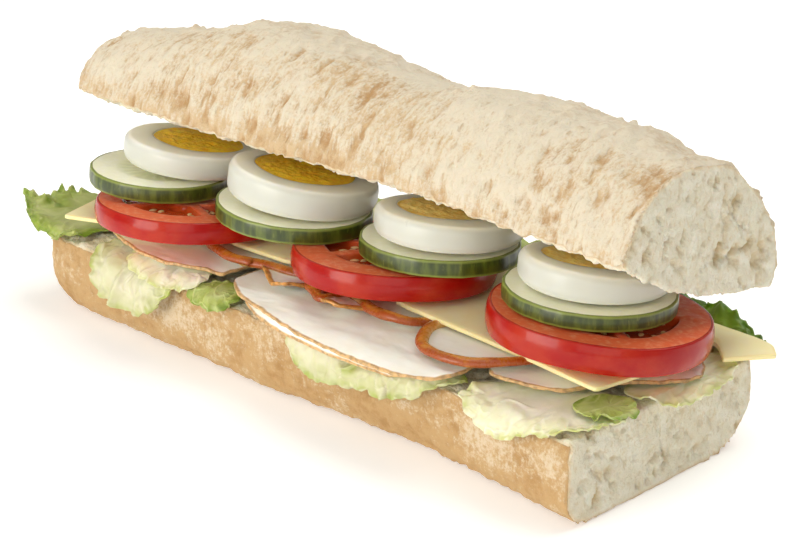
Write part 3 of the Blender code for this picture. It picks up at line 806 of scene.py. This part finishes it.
def seed_mesh_parts(laid, spots, length, width, height):
    """Small pointed seeds, each lying on the slice's upper face at a spot of (x, y, z, turn)."""
    points, faces = [], []
    rings, sides = 5, 8
    for x, y, z, turn in spots:
        start = len(points)
        for k in range(rings + 1):
            share = k / rings
            girth = math.sin(math.pi * share) ** 0.8 * (1 - 0.35 * share)
            for i in range(sides):
                a = 2 * math.pi * i / sides
                along = (share - 0.5) * length
                side, up = width / 2 * girth * math.cos(a), height / 2 * girth * math.sin(a)
                px = x + along * math.cos(turn) - side * math.sin(turn)
                py = y + along * math.sin(turn) + side * math.cos(turn)
                points.append(laid.world(np.array(px), np.array(py), np.array(z + up)))
        for k in range(rings):
            for i in range(sides):
                j = (i + 1) % sides
                here, there = start + k * sides, start + (k + 1) * sides
                faces.append((here + i, here + j, there + j, there + i))
        faces.append(tuple(start + i for i in range(sides))[::-1])
        faces.append(tuple(start + rings * sides + i for i in range(sides)))
    return points, faces


def seed_places(laid, count, turn, index):
    """Random places and turns for the seeds in a tomato slice's chambers, none too near another."""
    random = np.random.default_rng(30 + index)
    places = []
    for _ in range(SEED_TRIES):
        if len(places) == SEEDS_WANTED:
            break
        angle, share = random.random() * 2 * math.pi, 0.28 + 0.4 * random.random()
        if chambers(np.array(angle), np.array(share), count, turn, index) < 0.035:
            continue
        radius = share * float(laid.radius(np.array(angle)))
        x, y = radius * math.cos(angle), radius * math.sin(angle)
        if any(math.hypot(x - other[0], y - other[1]) < SEED_GAP for other in places):
            continue
        top = laid.height(laid.upper, x, y) - 1.4
        places.append((x, y, top, angle + random.normal() * 0.5))
    return places


def tomato(index, finish):
    """Slice with sunken seed chambers, and its seeds."""
    node = f"tomato_{index + 1}"
    laid = Slice(node)
    x, y, z, angle, share, kind = disc_points(laid, 168, 50, 0.55, 8, 0.5)
    count, turn = 5 + index % 2, 0.5 + 1.3 * index
    inside = chambers(angle, share, count, turn, index)
    depth = step(inside, 0.0, 0.07)
    on_top = kind < 0
    spots = np.stack([x, y, z], axis=-1)
    flesh = rough(spots, 3.2, 3, 81 + index) * 0.12
    gel = rough(spots, 2.4, 2, 91 + index) * 0.25
    z = z + np.where(on_top, -1.5 * depth + flesh + gel * depth, 0.0)
    mesh = disc_mesh(node + "_slice", laid, x, y, z)
    chamber = np.where(on_top, step(inside, 0.0, 0.03), 0.0)
    write_row_masks(
        mesh,
        skin=np.where((kind >= 0) & (kind <= 1), 1.0, 0.0),
        chamber=chamber,
        core=step(share, 0.34, 0.1) * on_top,
        seed=x * 0,
        wet=0.22 + 0.55 * chamber,
    )
    show(node + "_slice", mesh, finish, [node])
    points, faces = seed_mesh_parts(laid, seed_places(laid, count, turn, index), 2.9, 1.9, 0.9)
    grains = new_mesh(node + "_seeds", points, faces)
    write_masks(grains, skin=0, chamber=0.15, core=0, seed=0.85, wet=0.9)
    show(node + "_seeds", grains, finish, [])


def cucumber(index, finish):
    """Slice with a faceted rind, a sunken seed ring and pips."""
    node = f"cucumber_{index + 1}"
    laid = Slice(node)
    x, y, z, angle, share, kind = disc_points(laid, 144, 38, 0.4, 8, 0.15)
    radius = float(np.mean(laid.radius(angle[0])))
    on_top = kind < 0
    on_side = (kind >= 0) & (kind <= 1)
    facets = 0.18 * np.abs(np.sin(6 * angle + index)) + 0.06 * np.sin(23 * angle + index)
    spots = np.stack([x, y, z], axis=-1)
    facets = facets + rough(spots, (2.5, 2.5, 6), 2, 101 + index) * 0.08
    swell = np.where(on_side, 1 + facets / radius, 1.0)
    x, y = x * swell, y * swell
    pips = np.abs(np.sin(10.5 * angle + index)) ** 0.7 * step(share, 0.28, 0.36) * step(share, 0.62, 0.52)
    lobes = step(share, 0.66 + 0.03 * math.sin(index), 0.58)
    flesh = rough(spots, 2.2, 3, 111 + index)
    z = z + np.where(on_top, -0.22 * pips - 0.18 * lobes + 0.05 * flesh, 0.0)
    mesh = disc_mesh(node + "_slice", laid, x, y, z)
    inset = (1 - share) * radius
    write_row_masks(
        mesh,
        skin=np.where(on_side & (inset < 0.5), 1.0, 0.0),
        under_rind=step(inset, 1.0, 0.4) * on_top,
        seed=(0.6 * pips + 0.35 * lobes) * on_top,
        brim=step(np.abs(kind - 0.5), 0.45, 0.5) * on_side,
        wet=np.where(on_side, 0.25, 0.3),
    )
    show(node + "_slice", mesh, finish, [node])


def egg(index, white, yellow):
    """The white as a thick ring, and the yolk that fills it."""
    white_node, yolk_node = f"egg_white_{index + 1}", f"egg_yolk_{index + 1}"
    laid, core = Slice(white_node), Slice(yolk_node)
    sides = 160
    angle = np.linspace(0, 2 * math.pi, sides, endpoint=False)
    outline = laid.radius(angle)
    offset = (core.middle - laid.middle) @ laid.axes.T
    hole = core.radius(angle) + 0.12
    ox, oy = np.cos(angle), np.sin(angle)
    hx, hy = offset[0] + hole * ox, offset[1] + hole * oy
    face = [(EGG_RIM_IN, share, 0, 0.0) for share in np.linspace(0, 1, 16)[:-1]]
    over, under = [], []
    for a in np.linspace(0, 1.5, 9):
        over.append((EGG_RIM_IN * (1 - math.sin(a)), 1, 0, -EGG_RIM_DROP * (1 - math.cos(a))))
        under.insert(0, (EGG_FOOT_IN * (1 - math.sin(a)), 1, 1, EGG_FOOT_RISE * (1 - math.cos(a))))
    back = [(EGG_FOOT_IN, share, 1, 0.0) for share in np.linspace(1, 0, 6)[1:]]
    inset, share, place, shift = (np.array(column)[:, None] for column in zip(*(face + over + under + back)))
    x = hx + ((outline - inset) * ox - hx) * share
    y = hy + ((outline - inset) * oy - hy) * share
    upper, lower = laid.height(laid.upper, x, y), laid.height(laid.lower, x, y)
    z = np.where(place > 0.5, lower, upper) + shift
    spots = np.stack([x, y, z], axis=-1)
    soft = rough(spots, 7, 2, 121 + index) * 0.12
    swell = 1 + soft / np.hypot(x, y)
    points = laid.world(x * swell, y * swell, z).reshape(-1, 3)
    mesh = new_mesh(white_node + "_ring", points, stack_faces(len(x), sides, True))
    wall = np.where(share < 1, 0.0, 1 - inset / np.where(place > 0.5, EGG_FOOT_IN, EGG_RIM_IN))
    write_masks(mesh, wall=np.broadcast_to(wall, x.shape).ravel())
    show(white_node + "_ring", mesh, white, [white_node])
    x, y, z, angle, share, kind = disc_points(core, 104, 40, 0.25, 4, 0.0)
    spots = np.stack([x, y, z], axis=-1)
    crumbly = rough(spots, 2.6, 4, 131 + index, 0.6)
    pits = step(cells(spots, 2.4, 141 + index)[0], 0.32, 0.1) * step(crumbly, 0.0, -0.5)
    z = z + np.where(kind < 0, 0.3 * crumbly - 0.55 * pits, 0.0)
    grow = 1 + 0.1 / core.radius(angle)
    mesh = disc_mesh(yolk_node + "_core", core, x * grow, y * grow, z)
    write_row_masks(mesh, pit=np.where(kind < 0, pits, 0.0))
    show(yolk_node + "_core", mesh, yellow, [yolk_node])


# Leaves, ham and cheese


def lying_way(points):
    """The upward direction of a sheet, which turns outwards where it hangs over the loaf's front edge."""
    turn = HANG_TURN * step(points[:, 1], HANG_FROM, HANG_TO)
    return np.stack([np.zeros(len(points)), -np.sin(turn), np.cos(turn)], axis=1)


def freedom(points):
    """0 where a sheet lies pressed in the stack, and 1 where it sticks out of the loaf."""
    x, y, _ = points.T
    front, back = step(y, *FRONT_FREE), step(y, *BACK_FREE)
    ends = np.maximum(step(x, *RIGHT_FREE), step(x, *LEFT_FREE))
    return np.maximum(np.maximum(front, back), ends)


def sheet_mesh(node, levels=3):
    """A smooth copy of a sheet, with each point's distance from its rim and the nearest place there."""
    mesh = cad_copy(node, node + "_slice", [smooth_by_modifiers(levels)])
    points, normals = read_mesh(mesh)
    edge, rim = nearest_of(points, sharp_rim(node))
    return mesh, points, normals, edge, rim


def leaf(node, finish, seed, ruffle):
    """Leaf with pleats, raised veins, and a frilled and ragged rim where it is free."""
    mesh, points, _, edge, rim = sheet_mesh(node)
    up = lying_way(points)
    free = 0.2 + 0.8 * freedom(points)
    bent = points + 2.0 * wander(points, 12, seed)
    fan = rough(bent, (5.5, 16, 9), 2, seed)
    veins = step(np.abs(rough(bent, (6, 22, 10), 2, seed + 1)), 0.07, 0.0)
    first, second = cells(bent, (7.5, 6, 6.5), seed + 3)
    little = step(second - first, 0.1, 0.0)
    pleats = np.abs(rough(bent, (5, 15, 8), 2, seed + 2)) - 0.35
    blister = 0.2 * step(second - first, 0.0, 0.5) + 0.35 * veins + 0.5 * fan + 1.1 * pleats
    swirl = rim + 1.6 * wander(points, 5, seed + 15)
    fold = rough(swirl, (3.6, 4.2, 5), 2, seed + 7)
    frill = 1.1 * ruffle * (0.5 - 1.3 * np.abs(fold)) * np.exp(-edge / 4.5)
    frill += 0.45 * ruffle * rough(swirl, (2.2, 2.6, 3), 2, seed + 8) * np.exp(-edge / 1.8)
    shift = up * ((blister + 0.4 * rough(points, 9, 2, seed + 9) + frill) * free)[:, None]
    ragged = wander(points, 2.6, seed + 11)
    ragged -= up * (ragged * up).sum(axis=1, keepdims=True)
    shift += ragged * (0.9 * np.exp(-edge / 1.8) * free)[:, None]
    write_points_within(mesh, points + shift, cad_box)
    crease = step(np.abs(fold), 0.16, 0.0) * np.exp(-edge / 5.0)
    vein = np.clip(veins + 0.25 * little + 0.4 * crease, 0, 1)
    write_masks(mesh, edge=edge, vein=vein, rib=np.clip(0.5 + 0.5 * fan, 0, 1))
    show(node + "_leaf", mesh, finish, [node])


def ham(node, finish, seed, curl, levels):
    """Slice with shallow folds and an uneven rim, which rises by curl."""
    mesh, points, normals, edge, _ = sheet_mesh(node, levels)
    up = lying_way(points)
    side = step(np.abs(normals[:, 2]), 0.6, 0.3)
    free = 0.25 + 0.75 * freedom(points)
    folds = 0.55 * rough(points, (13, 8, 10), 2, seed)
    folds += 0.12 * rough(points, (4, 1.8, 2), 2, seed + 3)
    curled = curl * step(edge, 3.0, 0.4) * (1 + 0.5 * lumps(points, 7, seed + 9))
    shift = up * (folds * free + curled)[:, None]
    ragged = wander(points, 2.6, seed + 5)
    shift += ragged * (0.35 * np.exp(-edge / 1.0))[:, None]
    write_points_within(mesh, points + shift, cad_box)
    write_masks(mesh, edge=edge, side=side)
    show(node + "_slice", mesh, finish, [node])


def rim_loops(node):
    """Closed lines of corners along the sharp edges of a sheet."""
    mesh = welded(node, 0.001 * MM)
    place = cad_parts[node].matrix_world
    beside = {}
    for edge in mesh.edges:
        if len(edge.link_faces) == 2 and edge.calc_face_angle() > math.radians(50):
            first, second = edge.verts
            beside.setdefault(first, []).append(second)
            beside.setdefault(second, []).append(first)
    loops = []
    while beside:
        loop = [next(iter(beside))]
        while True:
            ahead = [v for v in beside.pop(loop[-1]) if v in beside]
            if not ahead:
                break
            loop.append(ahead[0])
        loops.append(np.array([place @ v.co for v in loop]) / MM)
    mesh.free()
    return loops


def rim_line(node, count):
    """Points evenly once round a sheet's rim, on a smooth line along its upper edge."""
    line = max(rim_loops(node), key=lambda loop: (len(loop) > 20, loop[:, 2].mean()))
    line = np.vstack([line, line[:1]])
    along = np.append(0.0, np.cumsum(np.linalg.norm(np.diff(line, axis=0), axis=1)))
    wanted = np.linspace(0, along[-1], count, endpoint=False)
    line = np.stack([np.interp(wanted, along, line[:, k]) for k in range(3)], axis=1)
    for _ in range(RIBBON_ROUNDS):
        line = (np.roll(line, 1, axis=0) + 2 * line + np.roll(line, -1, axis=0)) / 4
    return line


def curled_rim(node, finish, back_y, seed):
    """The browned rim of a ham slice, rolled into a ribbon along the open side."""
    line = rim_line(node, RIBBON_POINTS)
    ahead = np.roll(line, -2, axis=0) - np.roll(line, 2, axis=0)
    ahead /= np.linalg.norm(ahead, axis=1, keepdims=True)
    aside = np.cross(ahead, np.array([0.0, 0.0, 1.0]))
    aside /= np.linalg.norm(aside, axis=1, keepdims=True)
    above = np.cross(aside, ahead)
    if np.cross(line[:, :2], np.roll(line[:, :2], -1, axis=0)).sum() < 0:
        aside = -aside
    shown = step(line[:, 1], back_y, back_y - 5)
    girth = 0.1 + 0.9 * shown
    girth *= 1 + 0.14 * rough(line, (9, 9, 9), 2, seed)
    angle = np.linspace(0, 2 * math.pi, RIBBON_SIDES, endpoint=False)
    wide, tall = RIBBON_WIDE * np.cos(angle), RIBBON_TALL * np.sin(angle)
    spread = aside[:, None] * wide[None, :, None] + above[:, None] * tall[None, :, None]
    points = line[:, None] + spread * girth[:, None, None]
    points[:, :, 2] += RIBBON_LIFT * shown[:, None]
    faces = []
    for k in range(RIBBON_POINTS):
        here, there = k * RIBBON_SIDES, (k + 1) % RIBBON_POINTS * RIBBON_SIDES
        for i in range(RIBBON_SIDES):
            j = (i + 1) % RIBBON_SIDES
            faces.append((here + i, here + j, there + j, there + i))
    mesh = new_mesh(node + "_rim", points.reshape(-1, 3), faces)
    write_masks(mesh, outer=np.tile(0.5 + 0.5 * np.cos(angle), RIBBON_POINTS))
    show(node + "_rim", mesh, finish, [])


def cheese(node, finish, seed):
    """Flat slice, hardly uneven."""
    mesh, points, normals, edge, _ = sheet_mesh(node)
    up = lying_way(points)
    shift = up * (0.12 * rough(points, 16, 2, seed))[:, None]
    shift += normals * (0.05 * rough(points, 2.4, 2, seed + 1) * np.exp(-edge / 1.5))[:, None]
    write_points(mesh, points + shift)
    write_masks(mesh, edge=edge)
    show(node + "_slice", mesh, finish, [node])


# Studio


def studio():
    """White floor just under the loaf, white surroundings and large soft lights."""
    signs = ((-1, -1), (1, -1), (1, 1), (-1, 1))
    corners = [(x * FLOOR_HALF, y * FLOOR_HALF, -0.05) for x, y in signs]
    floor = new_mesh("floor", corners, [(0, 1, 2, 3)])
    finish = Finish("floor", Specular_IOR_Level=0.1, Emission_Color=(1, 1, 1, 1), Emission_Strength=0.3)
    tint = finish.blend((0.90, 0.90, 0.90), (0.92, 0.92, 0.92), finish.grain(400, 2))
    floor.materials.append(finish.done(tint, 0.8))
    ground = bpy.data.objects.new("floor", floor)
    bpy.context.scene.collection.objects.link(ground)
    world = bpy.data.worlds.new("studio")
    world.use_nodes = True
    around = world.node_tree.nodes["Background"].inputs
    around["Color"].default_value = (1, 1, 1, 1)
    around["Strength"].default_value = 0.3
    bpy.context.scene.world = world
    for name, place, width, power in LIGHTS:
        soft_light(name, place, width, power)


def soft_light(name, place, width, power):
    """Square light that faces the loaf."""
    data = bpy.data.lights.new(name, "AREA")
    data.shape = "SQUARE"
    data.size = width
    data.energy = power
    data.color = WARM_LIGHT
    put(name, data, Vector(place), Vector(LIGHTS_AIM))


def put(name, data, place, target):
    """Adds a light or camera that looks from a place to a target."""
    thing = bpy.data.objects.new(name, data)
    thing.location = place
    thing.rotation_euler = (target - place).to_track_quat("-Z", "Y").to_euler()
    bpy.context.scene.collection.objects.link(thing)
    return thing


def photograph_view():
    """Camera at the photograph's angle."""
    data = bpy.data.cameras.new("camera")
    data.lens = CAMERA_LENS
    data.sensor_width = 36.0
    data.sensor_fit = "HORIZONTAL"
    data.clip_start = 0.01
    place, target = Vector(CAMERA_PLACE) * MM, Vector(CAMERA_TARGET) * MM
    bpy.context.scene.camera = put("camera", data, place, target)


# All the pieces

bpy.context.scene.view_settings.view_transform = "Standard"
photograph_view()
studio()
bottom_half()
top_half()

tomato_red = tomato_finish()
for index in range(3):
    tomato(index, tomato_red)
cucumber_green = cucumber_finish()
for index in range(4):
    cucumber(index, cucumber_green)
white_finish = egg_white_finish()
deep_yolk = yolk_finish("deep_yolk", (0.98, 0.50, 0.012), (1.0, 0.72, 0.05), 0.34)
pale_yolk = yolk_finish("pale_yolk", (0.97, 0.58, 0.12), (1.0, 0.77, 0.27), 0.6)
for index in range(4):
    egg(index, white_finish, deep_yolk if index < 2 else pale_yolk)

pale_leaf = leaf_finish("pale_leaf", (0.70, 0.67, 0.48), (0.52, 0.52, 0.25), (0.38, 0.43, 0.09))
green_leaf = leaf_finish("green_leaf", (0.56, 0.58, 0.25), (0.32, 0.39, 0.06), (0.18, 0.27, 0.02))
dark_leaf = leaf_finish("dark_leaf", (0.26, 0.33, 0.04), (0.10, 0.19, 0.01), (0.06, 0.13, 0.006))
white_leaf = leaf_finish("white_leaf", (0.88, 0.85, 0.67), (0.76, 0.74, 0.46), (0.54, 0.55, 0.20), 0.26)
LEAVES = {
    "left_end": (green_leaf, 2.2),
    "front_left": (pale_leaf, 1.2),
    "rib": (white_leaf, 0.6),
    "small_green": (green_leaf, 1.2),
    "front_middle": (pale_leaf, 1.4),
    "front_right": (white_leaf, 1.4),
    "curl": (green_leaf, 1.4),
    "right_end": (white_leaf, 1.0),
    "back_right": (dark_leaf, 2.0),
    "back_middle": (green_leaf, 1.5),
    "back_left": (pale_leaf, 1.5),
}
for count, (name, (finish, ruffle)) in enumerate(LEAVES.items()):
    leaf("lettuce_" + name, finish, 200 + 20 * count, ruffle)

pale_ham = ham_finish("ham", (0.68, 0.43, 0.19), 0.9, 0.42)
roast_ham = ham_finish("roast_ham", (0.66, 0.31, 0.075), 1.6, 0.3)
roast_rim = ham_rim_finish()
curled_rim("ham_ruffle", roast_rim, -14, 640)
curled_rim("ham_fold", roast_rim, -12, 660)
HAM = ("ham_left", "ham_middle", "ham_under", "ham_ruffle", "ham_fold", "ham_right")
for count, node in enumerate(HAM):
    finish, curl = (roast_ham, 0.3) if node in ("ham_ruffle", "ham_fold") else (pale_ham, 0.0)
    ham(node, finish, 500 + 20 * count, curl, 2 if node == "ham_ruffle" else 3)

pale_cheese = cheese_finish()
for count, node in enumerate(("cheese_left", "cheese_middle", "cheese_right", "cheese_back_right")):
    cheese(node, pale_cheese, 700 + 20 * count)

bpy.context.view_layer.update()
